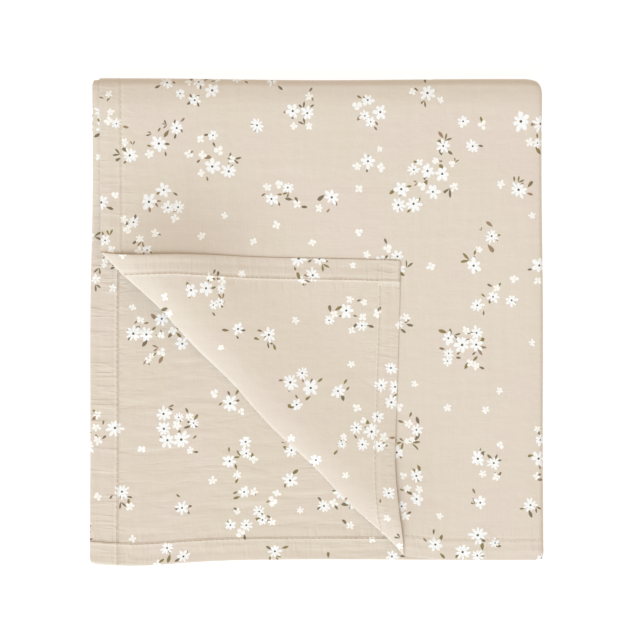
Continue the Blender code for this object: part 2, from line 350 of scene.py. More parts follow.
# %% [markdown]
# ## The swell beside the fold
# The fold's bulk lifts the top layer along the turned corner's upper edge, and a little beside its tip.
# The swell is one soft hump along that edge. Its own formula keeps it apart from the fold's, so either can
# change alone. It falls away faster above the edge than below it, where the turned corner lies on it.

# %% Swell the top layer
SWELL_HEIGHT, SWELL_MIDDLE, SWELL_HALF_WIDTH = 0.0116, 0.048, 0.043
SWELL_EDGE = (0.1900, -0.024)  # the line that it stands along: height at the left side, and slope
SWELL_ABOVE, SWELL_ABOVE_POWER = 0.030, 1.4  # how it falls away above the line
SWELL_BELOW, SWELL_BELOW_POWER = 0.062, 2  # and below it
TIP_SWELL = (0.186, 0.024, 0.020, 0.040, 0.0028)  # middle across and along, half width and depth, height


def swell(x, y):
    above = y - (SWELL_EDGE[0] + SWELL_EDGE[1] * x)
    falls_above = (np.abs(above) / SWELL_ABOVE) ** SWELL_ABOVE_POWER
    falls_below = (above / SWELL_BELOW) ** SWELL_BELOW_POWER
    falls = np.where(above > 0, falls_above, falls_below)
    beside = SWELL_HEIGHT * np.exp(-(((x - SWELL_MIDDLE) / SWELL_HALF_WIDTH) ** 2) - falls)
    tip_x, tip_y, wide, deep, high = TIP_SWELL
    return beside + high * bump_up(x - tip_x, wide) * bump_up(y - tip_y, deep)


print(f"the swell is {1000 * SWELL_HEIGHT:.1f} mm high, and {1000 * TIP_SWELL[-1]:.1f} mm by the tip")

# %% [markdown]
# ## Creases
# The crinkle of muslin is part noise and part real creases. The noise gives the fine unevenness
# everywhere, but it can't be told where to put a crease. So the creases that show are placed one by one on
# the layer that the corner uncovers, each a soft ridge with a trough beside it, bowed a little. They are
# listed from the stack's lower left corner, in millimetres.

# %% Creases of the uncovered layer
CREASE_BOW = 0.06  # how far a crease bends at its ends, as a share of its length
CREASE_END = 0.55  # where it has died out, as a share of its length
TROUGH_DEPTH, TROUGH_OFF, TROUGH_WIDTH = 0.55, 1.7, 1.2  # shares of the height and of the half width
CREASES = (  # across, along, length, turn in degrees, half width, height
    (10, 179, 9, 0, 1.3, -0.30),
    (37, 140, 17, -3, 1.5, -0.40),
    (62, 124, 20, 2, 1.6, -0.45),
    (65, 114, 15, -2, 1.3, -0.30),
    (32, 100, 19, 3, 1.6, -0.40),
    (66, 99, 27, 1, 1.6, 0.35),
    (64, 81, 30, -1, 1.5, 0.40),
    (41, 70, 24, 2, 1.6, -0.40),
    (9, 100, 13, 4, 1.2, 0.30),
    (8, 88, 13, -3, 1.2, 0.30),
    (71, 62, 16, 4, 1.4, -0.30),
    (11, 57, 11, 3, 1.3, -0.35),
    (43, 44, 22, 2, 1.5, 0.25),
    (95, 34, 42, 1, 1.8, -0.45),
    (129, 40, 26, -3, 1.6, -0.40),
    (122, 27, 11, 2, 1.3, -0.30),
    (32, 21, 30, 2, 1.6, -0.40),
    (31, 38, 20, 88, 1.5, 0.30),
    (25, 9, 8, 85, 1.2, 0.30),
    (129, 25, 25, 3, 1.8, -0.35),
    (20, 153, 14, 86, 1.3, 0.25),
    (27, 150, 16, 92, 1.3, -0.25),
    (33, 127, 12, 88, 1.3, 0.25),
    (52, 108, 12, 1, 1.4, 0.25),
    (90, 66, 18, -2, 1.5, 0.25),
    (100, 52, 20, 3, 1.5, -0.30),
    (150, 20, 16, 1, 1.4, 0.30),
    (56, 30, 18, -3, 1.6, 0.30),
    (78, 18, 22, 2, 1.5, -0.30),
)


def creased(x, y, rows):
    """The height of all the creases at each point, in metres."""
    total = np.zeros_like(x)
    for across, along, length, turn, width, height in rows:
        angle = math.radians(turn)
        dx, dy = x * 1000 - across, y * 1000 - along
        run = dx * math.cos(angle) + dy * math.sin(angle)
        off = dy * math.cos(angle) - dx * math.sin(angle)
        off = off + CREASE_BOW * length * math.sin(across + along) * (2 * run / length) ** 2
        ends = np.exp(-((run / (CREASE_END * length)) ** 4))
        trough = TROUGH_DEPTH * bump_up(off - TROUGH_OFF * width, TROUGH_WIDTH * width)
        total += height * ends * (bump_up(off, width) - trough)
    return total / 1000


print("creases placed:", len(CREASES))

# %% [markdown]
# ## Settling
# Last, the whole stack is made less perfect: its corners are rounded in plan, its sides wander, its top is
# not quite level, and the crinkle lifts the upper layers. Displacing each layer by itself would push it
# through its neighbours. So every layer moves with the ones beside it, the lower ones less, and the
# underside stays flat.

# %% Round the stack's corners
CORNER_ROUND = {(0, 0): 0.006, (1, 0): 0.006, (0, 1): 0.005, (1, 1): 0.011}  # right or left, top or bottom
CORNER_SOFTNESS = 0.75  # 0 leaves the corners square, 1 would make them true arcs


def round_corners(x, y):
    """Rounds the stack's four corners in plan, as a square is taken to a disc."""
    for (right, upper), radius in CORNER_ROUND.items():
        centre_x = FOLDED_WIDTH - radius if right else radius
        centre_y = FOLDED_DEPTH - radius if upper else radius
        out_x = np.clip((x - centre_x) / radius, -1, 1)
        out_y = np.clip((y - centre_y) / radius, -1, 1)
        inside = ((out_x > 0) == bool(right)) & ((out_y > 0) == bool(upper))
        new_x = centre_x + radius * out_x * np.sqrt(1 - CORNER_SOFTNESS * out_y**2 / 2)
        new_y = centre_y + radius * out_y * np.sqrt(1 - CORNER_SOFTNESS * out_x**2 / 2)
        x, y = np.where(inside, new_x, x), np.where(inside, new_y, y)
    return x, y


print("corners rounded, mm:", [round(1000 * radius) for radius in CORNER_ROUND.values()])

# %% Crinkle and settle the stack
CRINKLES = (  # height, size across and along, seed
    (0.00022, 0.022, 0.0055, 11.0),
    (0.00015, 0.006, 0.020, 12.0),
)
PRESSED_CRINKLE = 0.4  # what is left of the crinkle away from the uncovered layer
UNCOVERED_FROM = (0.001, 0.005)  # past the fold's start, none and all of the creases
LONG_WAVES = ((0.0004, 0.06, 0.06, 13.0),)
LIFT_POWER = 3  # how fast the lift dies out down through the stack
TOP_DROP, RIGHT_DROP = (0.0028, 0.0105), (0.0007, 0.006)  # over the folds: how far down, how far in
LEFT_OUT, LEFT_MORE, LEFT_STEP = 0.0013, 0.0005, (0.75, 0.55)  # the left side stands out, more below
BOTTOM_OUT, BOTTOM_SAG, SAG_AT, SAG_WIDTH = 0.0011, 0.0028, 0.10, 0.12  # and so does the bottom one
SIDES_WANDER = 0.0008
WAVES_UP_THE_SIDES = ((1.0, 5.0, 0.6), (0.6, 11.0, 2.0))  # share, rate, start
WAVES_ALONG_THE_ENDS = ((1.0, 4.4, 1.9), (0.7, 9.0, 0.4))
UNLEVEL = 0.018  # how far from level the top is, as a share of the height
UNLEVEL_ACROSS, UNLEVEL_ALONG = ((1.0, 4.1, 0.5),), ((1.0, 3.7, 1.1),)


def crinkle(x, y, rows):
    return sum(height * wander(x / wide, y / deep, seed) for height, wide, deep, seed in rows)


def waves(place, rows):
    return sum(share * np.sin(rate * place + start) for share, rate, start in rows)


def settle(x, y, z):
    """The last unevenness of the whole stack, which then moves to stand on its own middle."""
    across, along = x / FOLDED_WIDTH, y / FOLDED_DEPTH
    share = np.clip(z / STACK, 0, 1) ** LIFT_POWER
    past = (x - ROLL_START[0]) * OUTWARDS[0] + (y - ROLL_START[1]) * OUTWARDS[1]
    uncovered = soft_step(*UNCOVERED_FROM, past)
    crinkled = crinkle(x, y, CRINKLES)
    lift = uncovered * (creased(x, y, CREASES) + crinkled)
    lift += (1 - uncovered) * PRESSED_CRINKLE * crinkled + crinkle(x, y, LONG_WAVES)
    lift -= TOP_DROP[0] * bump_up(FOLDED_DEPTH - y, TOP_DROP[1])
    lift -= RIGHT_DROP[0] * bump_up(FOLDED_WIDTH - x, RIGHT_DROP[1])
    z = z + lift * share
    x = x - (1 - across) * (LEFT_OUT + LEFT_MORE * soft_step(*LEFT_STEP, along))
    x = x + SIDES_WANDER * (across - 0.5) * waves(along, WAVES_UP_THE_SIDES)
    y = y + SIDES_WANDER * (along - 0.5) * waves(across, WAVES_ALONG_THE_ENDS)
    y = y - (1 - along) * (BOTTOM_OUT + BOTTOM_SAG * bump_up(across - SAG_AT, SAG_WIDTH))
    z = z * (1 + UNLEVEL * waves(across, UNLEVEL_ACROSS) * waves(along, UNLEVEL_ALONG))
    return x - FOLDED_WIDTH / 2, y - FOLDED_DEPTH / 2, np.maximum(z, 0.0)


# %% From the flat cloth to the folded one
def lay(u, v, height):
    """Takes points of the flat cloth, and their height off it, to where they lie in the folded blanket."""
    x, y, z = hem_all_round(u, v, height)
    top_layer = (u <= PANEL_WIDTH) & (v <= PANEL_DEPTH)
    z = z + sewn_relief(x, y)
    x, y = draw_in(x, y)
    x, y, z = fold_in_four(x, y, z + LAYER / 2)
    x, y = round_corners(x, y)
    x, y, z = roll_over(x, y, z, top_layer)
    return settle(x, y, z + top_layer * swell(x, y))


first_corner = [round(1000 * value.item()) for value in lay(*np.zeros((3, 1)))]
print("the cloth's first corner comes to lie at, mm:", first_corner)

# %% [markdown]
# ## The flat cloth
# A grid of faces, with lines close together where the cloth bends: round the hems, beside the stitching
# and at the folds. An even grid as fine as that would have millions of faces. The panels that show are then
# divided finer, which the hidden ones don't need. The table says how far apart each stretch's lines are.

# %% Grid lines
BASE, HIDDEN = 0.0060, 0.019  # between the lines of panels that show, and of hidden ones
HEM_TOP, HEM_UNDER = 0.004, 0.0045  # of a hem's upper face, and of its turned-under part
BESIDE_STITCHES, FINE = 0.001, 0.0005  # this far to both sides of the stitching, the lines are finer
EDGE_TURN = math.pi * HEM_GAP / 2  # length of cloth in a hem's outer bend
EDGE_FACETS, OUTER_FACETS, MIDDLE_FACETS = 4, 8, 4


def stretches(panel, near_hem, far_hem, outer_bend, middle_bend, whole, far_step):
    """(until, step) rows across the flat cloth, from one hem's raw edge to the other's."""
    half = 2 * panel + outer_bend
    near_line = near_hem - STITCH_INSET
    far_line = far_hem - STITCH_INSET
    return (
        (-EDGE_TURN - (near_hem - TUCK), None),
        (-EDGE_TURN - (near_line - BESIDE_STITCHES), FINE),
        (-EDGE_TURN, HEM_UNDER),
        (0.0, EDGE_TURN / EDGE_FACETS),
        (near_line - BESIDE_STITCHES, HEM_TOP),
        (near_line + BESIDE_STITCHES, FINE),
        (panel, BASE),
        (panel + outer_bend, outer_bend / OUTER_FACETS),
        (half, HIDDEN),
        (half + middle_bend, middle_bend / MIDDLE_FACETS),
        (whole - panel - outer_bend, HIDDEN),
        (whole - panel, outer_bend / OUTER_FACETS),
        (whole - far_line - BESIDE_STITCHES, far_step),
        (whole - far_line + BESIDE_STITCHES, FINE),
        (whole, HEM_TOP),
        (whole + EDGE_TURN, EDGE_TURN / EDGE_FACETS),
        (whole + EDGE_TURN + far_line - BESIDE_STITCHES, HEM_UNDER),
        (whole + EDGE_TURN + far_hem - TUCK, FINE),
    )


def grid_lines(rows, near_end, far_end):
    """The places of all the lines, with the raw edges as the first and the last."""
    start = rows[0][0]
    lines = [near_end, start]
    for until, step in rows[1:]:
        count = max(1, round((until - start) / step))
        lines += [start + (until - start) * i / count for i in range(1, count + 1)]
        start = until
    return np.array([*lines, far_end])


across_lines = grid_lines(
    stretches(PANEL_WIDTH, HEMS["left"], HEMS["right"], BENDS[2], BENDS[0], CLOTH_WIDTH, BASE),
    -EDGE_TURN - HEMS["left"],
    CLOTH_WIDTH + EDGE_TURN + HEMS["right"],
)
along_lines = grid_lines(
    stretches(PANEL_DEPTH, HEMS["bottom"], HEMS["top"], BENDS[3], BENDS[1], CLOTH_DEPTH, HIDDEN),
    -EDGE_TURN - HEMS["bottom"],
    CLOTH_DEPTH + EDGE_TURN + HEMS["top"],
)
print("grid lines:", len(across_lines), "by", len(along_lines))

# %% Make the grid and divide what shows
UNCOVERED = 0.207  # the corner that the flap uncovers runs this far along both sides
NEAR_FOLD = (-0.0025, 0.008)  # the strip along the fold's sharp bend, past its start
SHORTEST = 0.0009  # edges shorter than this aren't divided again


def is_shown(middle, near_fold):
    """Whether a face shows, or for near_fold whether it lies at the fold's sharp bend."""
    top = middle.x < PANEL_WIDTH + BENDS[2] / 2 and middle.y < PANEL_DEPTH + BENDS[3] / 2
    second = CLOTH_WIDTH - middle.x + middle.y < UNCOVERED
    past = (np.array(middle.xy) - ROLL_START) @ OUTWARDS
    return (top and NEAR_FOLD[0] < past < NEAR_FOLD[1]) if near_fold else (top or second)


def flat_cloth():
    """The flat cloth as a bmesh, its vertices at their places on the flat cloth."""
    mesh = bmesh.new()
    columns, rows = len(across_lines), len(along_lines)
    bmesh.ops.create_grid(mesh, x_segments=columns - 1, y_segments=rows - 1, size=0.5)
    for vert in mesh.verts:
        column = round((vert.co.x + 0.5) * (columns - 1))
        row = round((vert.co.y + 0.5) * (rows - 1))
        vert.co = (across_lines[column], along_lines[row], 0.0)
    for near_fold in (False, False, True):
        shown = set()
        for face in mesh.faces:
            if is_shown(face.calc_center_median(), near_fold):
                shown.update(edge for edge in face.edges if edge.calc_length() > SHORTEST)
        bmesh.ops.subdivide_edges(mesh, edges=list(shown), cuts=1, use_grid_fill=True)
    return mesh


flat = flat_cloth()
print("faces of the cloth:", len(flat.faces))

# %% [markdown]
# ## Two maps of the cloth
# The print is drawn in metres of flat cloth, so one map simply keeps each vertex's place on the flat cloth.
# There the turned-under hems repeat what they lie against, so that the print runs on across them. Placing
# the print in space instead would cut it at every fold. A second map packs the cloth for a baked texture:
# the top panel and the uncovered corner, which are seen from close by, get most of the square, and the
# whole cloth, seen only at its folds, a strip of it.

# %% Pack the cloth for a baked texture
TOP_SHARE = (0.0, 0.0, 0.60, 0.68)  # each share is left, bottom, width and height in the square
CORNER_SHARE = (0.61, 0.0, 0.39, 0.41)
REST_SHARE = (0.0, 0.69, 1.0, 0.31)
CORNER_REST_SHARE = (0.61, 0.42, 0.39, 0.26)
CORNER_SIDE, CORNER_REST_SIDE = 0.235, 0.30  # of the uncovered corner, and of the cloth about it


def fitted(values, low, high, start, size):
    return start + size * (values - low) / (high - low)


def bake_map(face_middles, places, owners):
    """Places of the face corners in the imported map, from their places on the flat cloth."""
    middle_u, middle_v = face_middles[owners].T
    u, v = places.T
    hem_u, hem_v = across_lines[0], along_lines[0]
    top_u, top_v = PANEL_WIDTH + BENDS[2], PANEL_DEPTH + BENDS[3]
    far = across_lines[-1]
    corner_u, rest_u = far - CORNER_SIDE, far - CORNER_REST_SIDE
    by_corner = (middle_u > rest_u) & (middle_v < top_v)
    in_corner = far - middle_u + middle_v < CORNER_SIDE
    on_top = (middle_u < top_u) & (middle_v < top_v)
    regions = (  # faces, u from and to, v from and to, share of the square; later rows win
        (middle_u > 0, (hem_u, far), (hem_v, along_lines[-1]), REST_SHARE),
        (by_corner, (rest_u, far), (hem_v, top_v), CORNER_REST_SHARE),
        (in_corner, (corner_u, far), (hem_v, CORNER_SIDE), CORNER_SHARE),
        (on_top, (hem_u, top_u), (hem_v, top_v), TOP_SHARE),
    )
    packed = np.zeros_like(places)
    for inside, (u_low, u_high), (v_low, v_high), (left, low, width, height) in regions:
        packed[inside, 0] = fitted(u[inside], u_low, u_high, left, width)
        packed[inside, 1] = fitted(v[inside], v_low, v_high, low, height)
    return packed


print("the top panel gets", round(TOP_SHARE[2] * TOP_SHARE[3], 2), "of the square")

# %% Fold the cloth
def numbers(items, name, width, kind=np.float64):
    """One attribute of all the items, with this many numbers each, read in one go."""
    values = np.empty(len(items) * width, kind)
    items.foreach_get(name, values)
    return values.reshape(-1, width) if width > 1 else values


def make_cloth(mesh):
    """Folds the flat mesh and keeps where each corner of it was in two UV maps."""
    data = bpy.data.meshes.new("muslin_cloth_folded")
    mesh.to_mesh(data)
    mesh.free()
    places = numbers(data.vertices, "co", 3)
    middles = numbers(data.polygons, "center", 3)[:, :2]
    x, y, z = lay(places[:, 0], places[:, 1], places[:, 2])
    data.vertices.foreach_set("co", np.stack([x, y, z], 1).ravel())
    loops = numbers(data.loops, "vertex_index", 1, np.int32)
    corners = places[loops, :2]
    turned = np.stack(hem_all_round(*places.T)[:2], 1)[loops]
    owners = np.repeat(np.arange(len(data.polygons)), numbers(data.polygons, "loop_total", 1, np.int32))
    data.uv_layers.new(name="flat_cloth").data.foreach_set("uv", turned.ravel())
    data.uv_layers.new(name="OFBake").data.foreach_set("uv", bake_map(middles, corners, owners).ravel())
    data.uv_layers.active = data.uv_layers["flat_cloth"]
    data.shade_smooth()
    data.update()
    made = bpy.data.objects.new("muslin_blanket", data)
    bpy.context.scene.collection.objects.link(made)
    return made


blanket = make_cloth(flat)
print("triangles:", sum(len(face.vertices) - 2 for face in blanket.data.polygons))

# %% [markdown]
# ## Hem stitching
# A row of lockstitches holds each hem. Thousands of separate objects would be slow, and bump has no threads
# that stand up. So one stitch is a short rounded thread, sunk at both ends, and a row is that shape again
# and again along the hem's line, all in one mesh. The stitches are laid out on the flat cloth, on both its
# faces, and folded by the same formulas, so they lie in their groove wherever the hem goes.

# %% One stitch
STITCH_LENGTH, STITCH_GAP = 0.0026, 0.0007
THREAD = 0.00019  # radius
THREAD_SIDES = 5
STITCH_LIFT = 0.4  # its middle stands this share of the radius off the cloth
STITCH_SINK = 0.00016  # its ends are this much lower
STITCH_BENDS = (0.2, 0.5, 0.8)  # places along it
UNDER_FACE = 1.05  # the stitches underneath hang this many hem gaps down
TURN_TO_X = Vector((0, 0, 1)).rotation_difference(Vector((1, 0, 0))).to_matrix()


def one_stitch():
    """A thread lying along x from 0 to 1, as a bmesh whose y and z are in metres."""
    mesh = bmesh.new()
    bmesh.ops.create_cone(
        mesh, cap_ends=True, segments=THREAD_SIDES, radius1=THREAD, radius2=THREAD, depth=1.0, calc_uvs=False
    )
    bmesh.ops.rotate(mesh, verts=mesh.verts, matrix=TURN_TO_X)
    bmesh.ops.translate(mesh, verts=mesh.verts, vec=(0.5, 0.0, 0.0))
    for cut in STITCH_BENDS:
        bmesh.ops.bisect_plane(
            mesh, geom=[*mesh.verts, *mesh.edges, *mesh.faces], plane_co=(cut, 0, 0), plane_no=(1, 0, 0)
        )
    for vert in mesh.verts:
        vert.co.z += THREAD * STITCH_LIFT - STITCH_SINK * (2 * vert.co.x - 1) ** 4
    return mesh


def stitch_row(length):
    """Where the stitches of a row of this length start."""
    count = int(length / (STITCH_LENGTH + STITCH_GAP))
    return (np.arange(count) + 0.5) * length / count - STITCH_LENGTH / 2


print("stitches along the left hem:", len(stitch_row(CLOTH_DEPTH)))

# %% Stitch the hems
def stitch_points(shape):
    """The points of every stitch on all four hems, from one stitch's points, folded with the cloth."""
    sides = (  # the line's place, whether it runs across, its length
        (HEMS["left"] - STITCH_INSET, False, CLOTH_DEPTH),
        (CLOTH_WIDTH - HEMS["right"] + STITCH_INSET, False, CLOTH_DEPTH),
        (HEMS["bottom"] - STITCH_INSET, True, CLOTH_WIDTH),
        (CLOTH_DEPTH - HEMS["top"] + STITCH_INSET, True, CLOTH_WIDTH),
    )
    points = []
    for line, runs_across, length in sides:
        for face, lift in ((1, 0.0), (-1, -HEM_GAP * UNDER_FACE)):
            starts = stitch_row(length)
            along = (starts[:, None] + shape[None, :, 0] * STITCH_LENGTH).ravel()
            off = line + np.tile(shape[:, 1], len(starts))
            high = lift + face * np.tile(shape[:, 2], len(starts))
            u, v = (along, off) if runs_across else (off, along)
            points.append(np.stack(lay(u, v, high), 1))
    return np.concatenate(points)


def make_stitching():
    """All the stitches as one mesh, which repeats one stitch's faces for each of them."""
    stitch = one_stitch()
    data = bpy.data.meshes.new("one_stitch")
    stitch.to_mesh(data)
    stitch.free()
    shape = numbers(data.vertices, "co", 3)
    loops = numbers(data.loops, "vertex_index", 1, np.int32)
    totals = numbers(data.polygons, "loop_total", 1, np.int32)
    bpy.data.meshes.remove(data)
    points = stitch_points(shape)
    count = len(points) // len(shape)
    faces_loops = (loops[None, :] + len(shape) * np.arange(count)[:, None]).ravel()
    faces_totals = np.tile(totals, count)
    made = bpy.data.meshes.new("hem_stitching")
    made.vertices.add(len(points))
    made.vertices.foreach_set("co", points.ravel())
    made.loops.add(len(faces_loops))
    made.loops.foreach_set("vertex_index", faces_loops)
    made.polygons.add(len(faces_totals))
    made.polygons.foreach_set("loop_start", np.concatenate(([0], np.cumsum(faces_totals)[:-1])))
    made.update(calc_edges=True)
    made.validate()
    made.shade_smooth()
    joined = bpy.data.objects.new("hem_stitching", made)
    bpy.context.scene.collection.objects.link(joined)
    print("stitches:", count, "faces:", len(made.polygons))
    return joined


stitching = make_stitching()

# %% [markdown]
# ## Writing a pattern as sums
# The print is worked out for each point of the cloth from its place, with hundreds of Math nodes. An image
# of flowers would be simpler, but it would blur up close. So that the pattern can be read, a wire between
# nodes is wrapped in a small class whose +, -, * and / add the Math node for it.

# %% Nodes as sums
class Wire:
    """The output of a node, which sums and products turn into more nodes."""

    def __init__(self, tree, socket):
        self.tree = tree
        self.socket = socket

    def math(self, operation, *others):
        return add_node(self.tree, "Math", dict(enumerate((self, *others))), operation=operation)[0]

    def __add__(self, other):
        return self.math("ADD", other)

    def __sub__(self, other):
        return self.math("SUBTRACT", other)

    def __mul__(self, other):
        return self.math("MULTIPLY", other)

    def __truediv__(self, other):
        return self.math("DIVIDE", other)

    def __rsub__(self, other):
        return self.math("MULTIPLY", -1.0).math("ADD", other)

    __radd__, __rmul__ = __add__, __mul__


def add_node(tree, kind, inputs, **settings):
    """Adds a node and returns its outputs as wires, by their order."""
    made = tree.nodes.new("ShaderNode" + kind)
    for name, value in settings.items():
        setattr(made, name, value)
    for key, value in inputs.items():
        if isinstance(value, Wire):
            tree.links.new(value.socket, made.inputs[key])
        else:
            made.inputs[key].default_value = value
    return [Wire(tree, socket) for socket in made.outputs]


def vector_math(operation, first, second):
    """The vector result, or the value for LENGTH, DISTANCE and DOT_PRODUCT."""
    outputs = add_node(first.tree, "VectorMath", {0: first, 1: second}, operation=operation)
    return outputs[1] if operation in ("LENGTH", "DISTANCE", "DOT_PRODUCT") else outputs[0]


def parts(vector):
    return add_node(vector.tree, "SeparateXYZ", {0: vector})


def join_xyz(x, y):
    return add_node(x.tree, "CombineXYZ", {0: x, 1: y})[0]


def step_up(value, low, high):
    """0 below low, 1 above high and a smooth slope between. The two may be the other way round."""
    inputs = {0: value, 1: low, 2: high}
    return add_node(value.tree, "MapRange", inputs, interpolation_type="SMOOTHSTEP", clamp=True)[0]


def between(share, ends):
    """From the first end to the second as the share goes from 0 to 1."""
    least, most = ends
    return share * (most - least) + least


def blend_colours(share, first, second):
    node = share.tree.nodes.new("ShaderNodeMix")
    node.data_type = "RGBA"
    share.tree.links.new(share.socket, node.inputs[0])
    for socket, colour in ((node.inputs[6], first), (node.inputs[7], second)):
        if isinstance(colour, Wire):
            share.tree.links.new(colour.socket, socket)
        else:
            socket.default_value = colour
    return Wire(share.tree, node.outputs[2])


def srgb(red, green, blue):
    """A screen colour from 0 to 255 as the linear colour that shaders take."""
    return tuple(
        (each / 255 / 12.92) if each <= 10 else ((each / 255 + 0.055) / 1.055) ** 2.4
        for each in (red, green, blue)
    ) + (1.0,)


print("half grey on a screen is", round(srgb(128, 128, 128)[0], 2), "of white in linear light")

# %% [markdown]
# ## Scattered flowers
# A printed ditsy has no order that the eye finds, yet its flowers sit in bunches, with sprigs and single
# blossoms between them. Placing each by hand would take hundreds of rows, and Voronoi cells give just that.
# Coarse cells say where the bunches are and how far each reaches, and finer ones where a flower could be. A
# flower is printed only where its own middle lies in a bunch, so that none is cut in half by a bunch's
# edge, and no wider than the room it has.

# %% Cells
CELLS = {  # metres between their middles, and how far from an even grid they lie
    "bunch": (0.053, 0.85),
    "sprig": (0.033, 0.95),
    "single": (0.026, 1.0),
    "flower": (0.0098, 0.8),
    "beside": (0.00765, 0.8),  # blossoms that stand beside a sprig's flower
    "leaf": (0.0051, 0.8),
}
NOTHING = -1.0  # the radius or reach of what isn't there


def voronoi_of(place, name, **settings):
    pitch, randomness = CELLS[name]
    inputs = {"Vector": place, "Scale": 1 / pitch, "Randomness": randomness}
    return add_node(place.tree, "TexVoronoi", inputs, voronoi_dimensions="2D", **settings)


def cells(place, name):
    """The nearest cell's middle, and three random numbers that belong to it."""
    outputs = voronoi_of(place, name)
    return outputs[2], parts(outputs[1])


def room_in(place, name):
    """Half the distance between the nearest cell's middle and the next one's."""
    return voronoi_of(place, name, feature="N_SPHERE_RADIUS")[4] * CELLS[name][0]


def distance_between(first, second):
    return vector_math("DISTANCE", first, second)


def only_if(condition, value):
    """The value where the condition is 1, and nothing where it's 0."""
    return condition * (value - NOTHING) + NOTHING


print("bunches to a square metre, about:", round(CELLS["bunch"][0] ** -2))

# %% Where bunches, sprigs and their flowers are
BUNCH_SHARE, SPRIG_SHARE, DAISY_SHARE = 0.92, 0.84, 0.56  # of the cells that could hold one
BUNCH_REACH = (0.0112, 0.0192)  # from its middle to its last flower's
SPRIG_CLEAR = 0.0105  # a sprig stands this far outside every bunch
SPRIG_RADIUS = (0.0043, 0.0055)  # of its one daisy
BLOOM_RADIUS = (0.0024, 0.0032)  # of a bunch's blossoms
DAISY_MORE = (0.0018, 0.0036)  # and how much larger its daisies are
DAISY_ROOM = 0.0031  # the room that a daisy needs
BLOOM_OVERLAP = 1.35  # how far a flower may reach, as a share of its room


def bunch_at(place):
    """The nearest bunch's middle and how far it reaches."""
    middle, (chance, size, _) = cells(place, "bunch")
    return middle, only_if(chance.math("LESS_THAN", BUNCH_SHARE), between(size, BUNCH_REACH))


def sprig_at(place):
    """The nearest sprig's middle and its flower's radius, and two random numbers."""
    middle, (chance, size, turn) = cells(place, "sprig")
    bunch, reach = bunch_at(middle)
    clear = distance_between(middle, bunch).math("GREATER_THAN", reach + SPRIG_CLEAR)
    here = clear * chance.math("LESS_THAN", SPRIG_SHARE)
    return middle, only_if(here, between(size, SPRIG_RADIUS)), size, turn


def bloom_at(place):
    """The nearest flower of a bunch: middle, radius, whether it's a daisy, and a random number."""
    middle, (kind, size, turn) = cells(place, "flower")
    room = room_in(place, "flower") * BLOOM_OVERLAP
    bunch, reach = bunch_at(middle)
    here = distance_between(middle, bunch).math("LESS_THAN", reach)
    daisy = kind.math("LESS_THAN", DAISY_SHARE) * room.math("GREATER_THAN", DAISY_ROOM)
    radius = between(size, BLOOM_RADIUS) + daisy * between(size * size, DAISY_MORE)
    return middle, only_if(here, radius.math("MINIMUM", room)), daisy, turn


print("daisies in bunches, mm across: up to", round(2000 * (BLOOM_RADIUS[1] + DAISY_MORE[1]), 1))

# %% [markdown]
# ## Petals
# A petal could be one Voronoi cell, but then its neighbours would set its shape. So round a flower's
# middle, the angle is cut into as many equal parts as it has petals. Inside its part, a petal is a slim
# ellipse lying near the part's middle line, and each petal's length, width and lean vary a little.

# %% Draw petals
FIRST_PETAL = 5.0  # how far round a flower may start, in petals
FLOWER_SEED = 91.7  # sets each flower's petals apart from the next one's
PETAL_LEAN = 0.28  # of a petal's part of the circle
PETAL_MIDDLE, PETAL_HALF = 0.55, 0.47  # along the radius
PETAL_LENGTHS, PETAL_WIDTHS = (0.76, 1.10), (0.55, 0.90)
PETAL_BROADENS = 0.4  # towards its outer end
PETAL_EDGE = (1.25, 0.75)  # the print's soft edge, as shares of the ellipse


def petals(offset, radius, count, width, turn):
    """1 on a flower's petals. width is a petal's half width as a share of the radius."""
    x, y, _ = parts(offset)
    distance = vector_math("LENGTH", offset, (0.0, 0.0, 0.0)) / radius
    angle = y.math("ARCTAN2", x) / (2 * math.pi) * count + turn * FIRST_PETAL
    index = angle.math("FLOOR")
    seed = index.math("FLOORED_MODULO", count) + turn * FLOWER_SEED
    random = add_node(offset.tree, "TexWhiteNoise", {"W": seed}, noise_dimensions="1D")[1]
    longer, wider, leaning = parts(random)
    off = (angle - index - 0.5 + (leaning - 0.5) * PETAL_LEAN) / count * (2 * math.pi)
    along = (distance * off.math("COSINE") / between(longer, PETAL_LENGTHS) - PETAL_MIDDLE) / PETAL_HALF
    broad = width * (between(wider, PETAL_WIDTHS) + distance * PETAL_BROADENS)
    across = distance * off.math("SINE") / broad
    return step_up(along * along + across * across, *PETAL_EDGE), distance


print("petals reach to, in radii:", round((PETAL_MIDDLE + PETAL_HALF) * PETAL_LENGTHS[1], 2))

# %% [markdown]
# ## Daisies and blossoms
# Both are the same petals in other numbers: six to nine and a dark dot make a daisy, and three to six a
# small blossom. Petals are broader where they are few, as on real flowers, so one drawing serves for both.
# A random number that belongs to each flower picks how many it has.

# %% Draw daisies
DAISY_PETALS, DAISY_KINDS = 6.0, 4.0  # the fewest, and how many counts there are
DAISY_PICK = 53.0  # spreads the flower's random number over the counts
DAISY_FULLNESS, BLOSSOM_FULLNESS = 1.52, 1.45  # a petal's half width times how many there are
DAISY_HEART, DAISY_DOT = (0.33, 0.25), (0.165, 0.115)  # soft edges where petals join, and of the dot


def daisy_shape(place, middle, radius, turn):
    """A daisy's petals and its dark middle."""
    count = (turn * DAISY_PICK).math("FLOORED_MODULO", DAISY_KINDS).math("FLOOR") + DAISY_PETALS
    width = count.math("POWER", -1.0) * DAISY_FULLNESS
    shape, distance = petals(vector_math("SUBTRACT", place, middle), radius, count, width, turn)
    here = radius.math("GREATER_THAN", 0.0)
    shape = shape.math("MAXIMUM", step_up(distance, *DAISY_HEART))
    return shape * here, step_up(distance, *DAISY_DOT) * here


